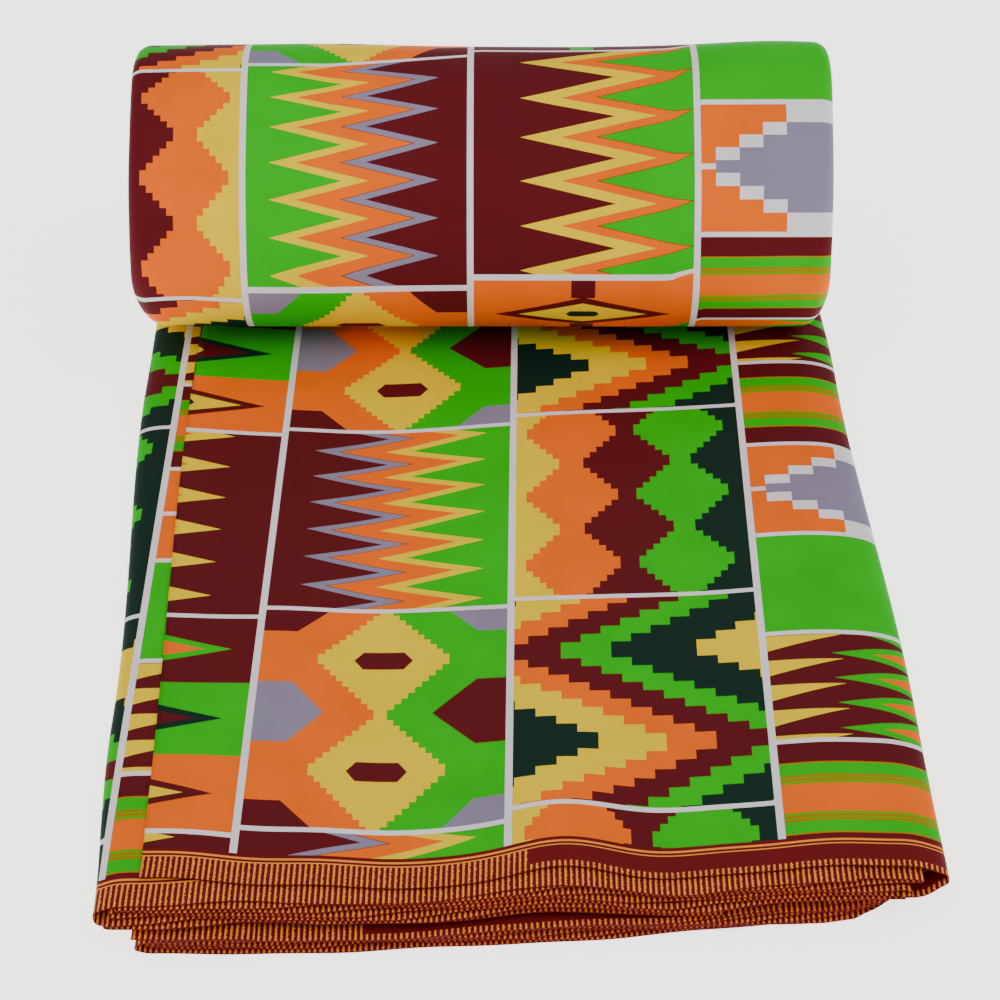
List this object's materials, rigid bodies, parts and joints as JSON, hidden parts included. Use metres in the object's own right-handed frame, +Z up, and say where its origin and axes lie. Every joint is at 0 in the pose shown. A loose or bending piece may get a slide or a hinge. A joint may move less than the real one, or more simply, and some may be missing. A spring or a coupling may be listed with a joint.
{
  "type": "folded length of wax print fabric",
  "caption": "Length of printed wax cotton folded flat into a deep stack, its far end curled over into a wide loose roll; rests flat and collides all round.",
  "frame": {"origin": "on the surface that the cloth lies on, under the middle of its box", "axes": "+X along the front selvage, +Y from the front selvage to the roll, +Z up"},
  "size_m": [0.4801, 0.6763, 0.1989],
  "materials": {
    "wax_print_cotton": "printed plain-weave cotton with a light waxed sheen"
  },
  "bodies": {
    "root": {"top_layer": "wax_print_cotton", "second_layer": "wax_print_cotton", "upper_layers": "wax_print_cotton", "lower_layers": "wax_print_cotton", "base_layer": "wax_print_cotton", "roll_outer_layer": "wax_print_cotton", "roll_second_layer_1": "wax_print_cotton", "roll_second_layer_2": "wax_print_cotton", "roll_inner_layer_1": "wax_print_cotton", "roll_inner_layer_2": "wax_print_cotton", "end_flap": "wax_print_cotton", "lower_edge_1": "wax_print_cotton", "lower_edge_2": "wax_print_cotton", "upper_edge_1": "wax_print_cotton", "upper_edge_2": "wax_print_cotton", "upper_edge_3": "wax_print_cotton"}
  },
  "joints": []
}
